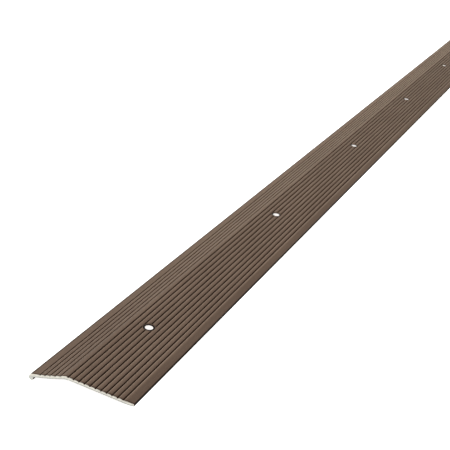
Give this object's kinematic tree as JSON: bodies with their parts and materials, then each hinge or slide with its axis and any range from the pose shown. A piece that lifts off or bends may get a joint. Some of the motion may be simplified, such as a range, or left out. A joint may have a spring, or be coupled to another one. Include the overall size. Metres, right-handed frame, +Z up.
{
  "type": "threshold strip",
  "caption": "Long low ridged floor strip with a hooked bead on one edge, an off-centre crown, a long fluted slope down to a thin toe, and round screw holes, each in a small flat seat, along its length.",
  "frame": {"origin": "on the floor, under the middle of the strip's box", "axes": "+Y along the strip, +Z up, +X from the hooked bead to the thin toe"},
  "size_m": [0.0508, 0.9144, 0.0061],
  "materials": {
    "bronze_finish": "satin bronze-brown anodised aluminium"
  },
  "bodies": {
    "root": {"fluted_strip": "bronze_finish"}
  },
  "joints": []
}
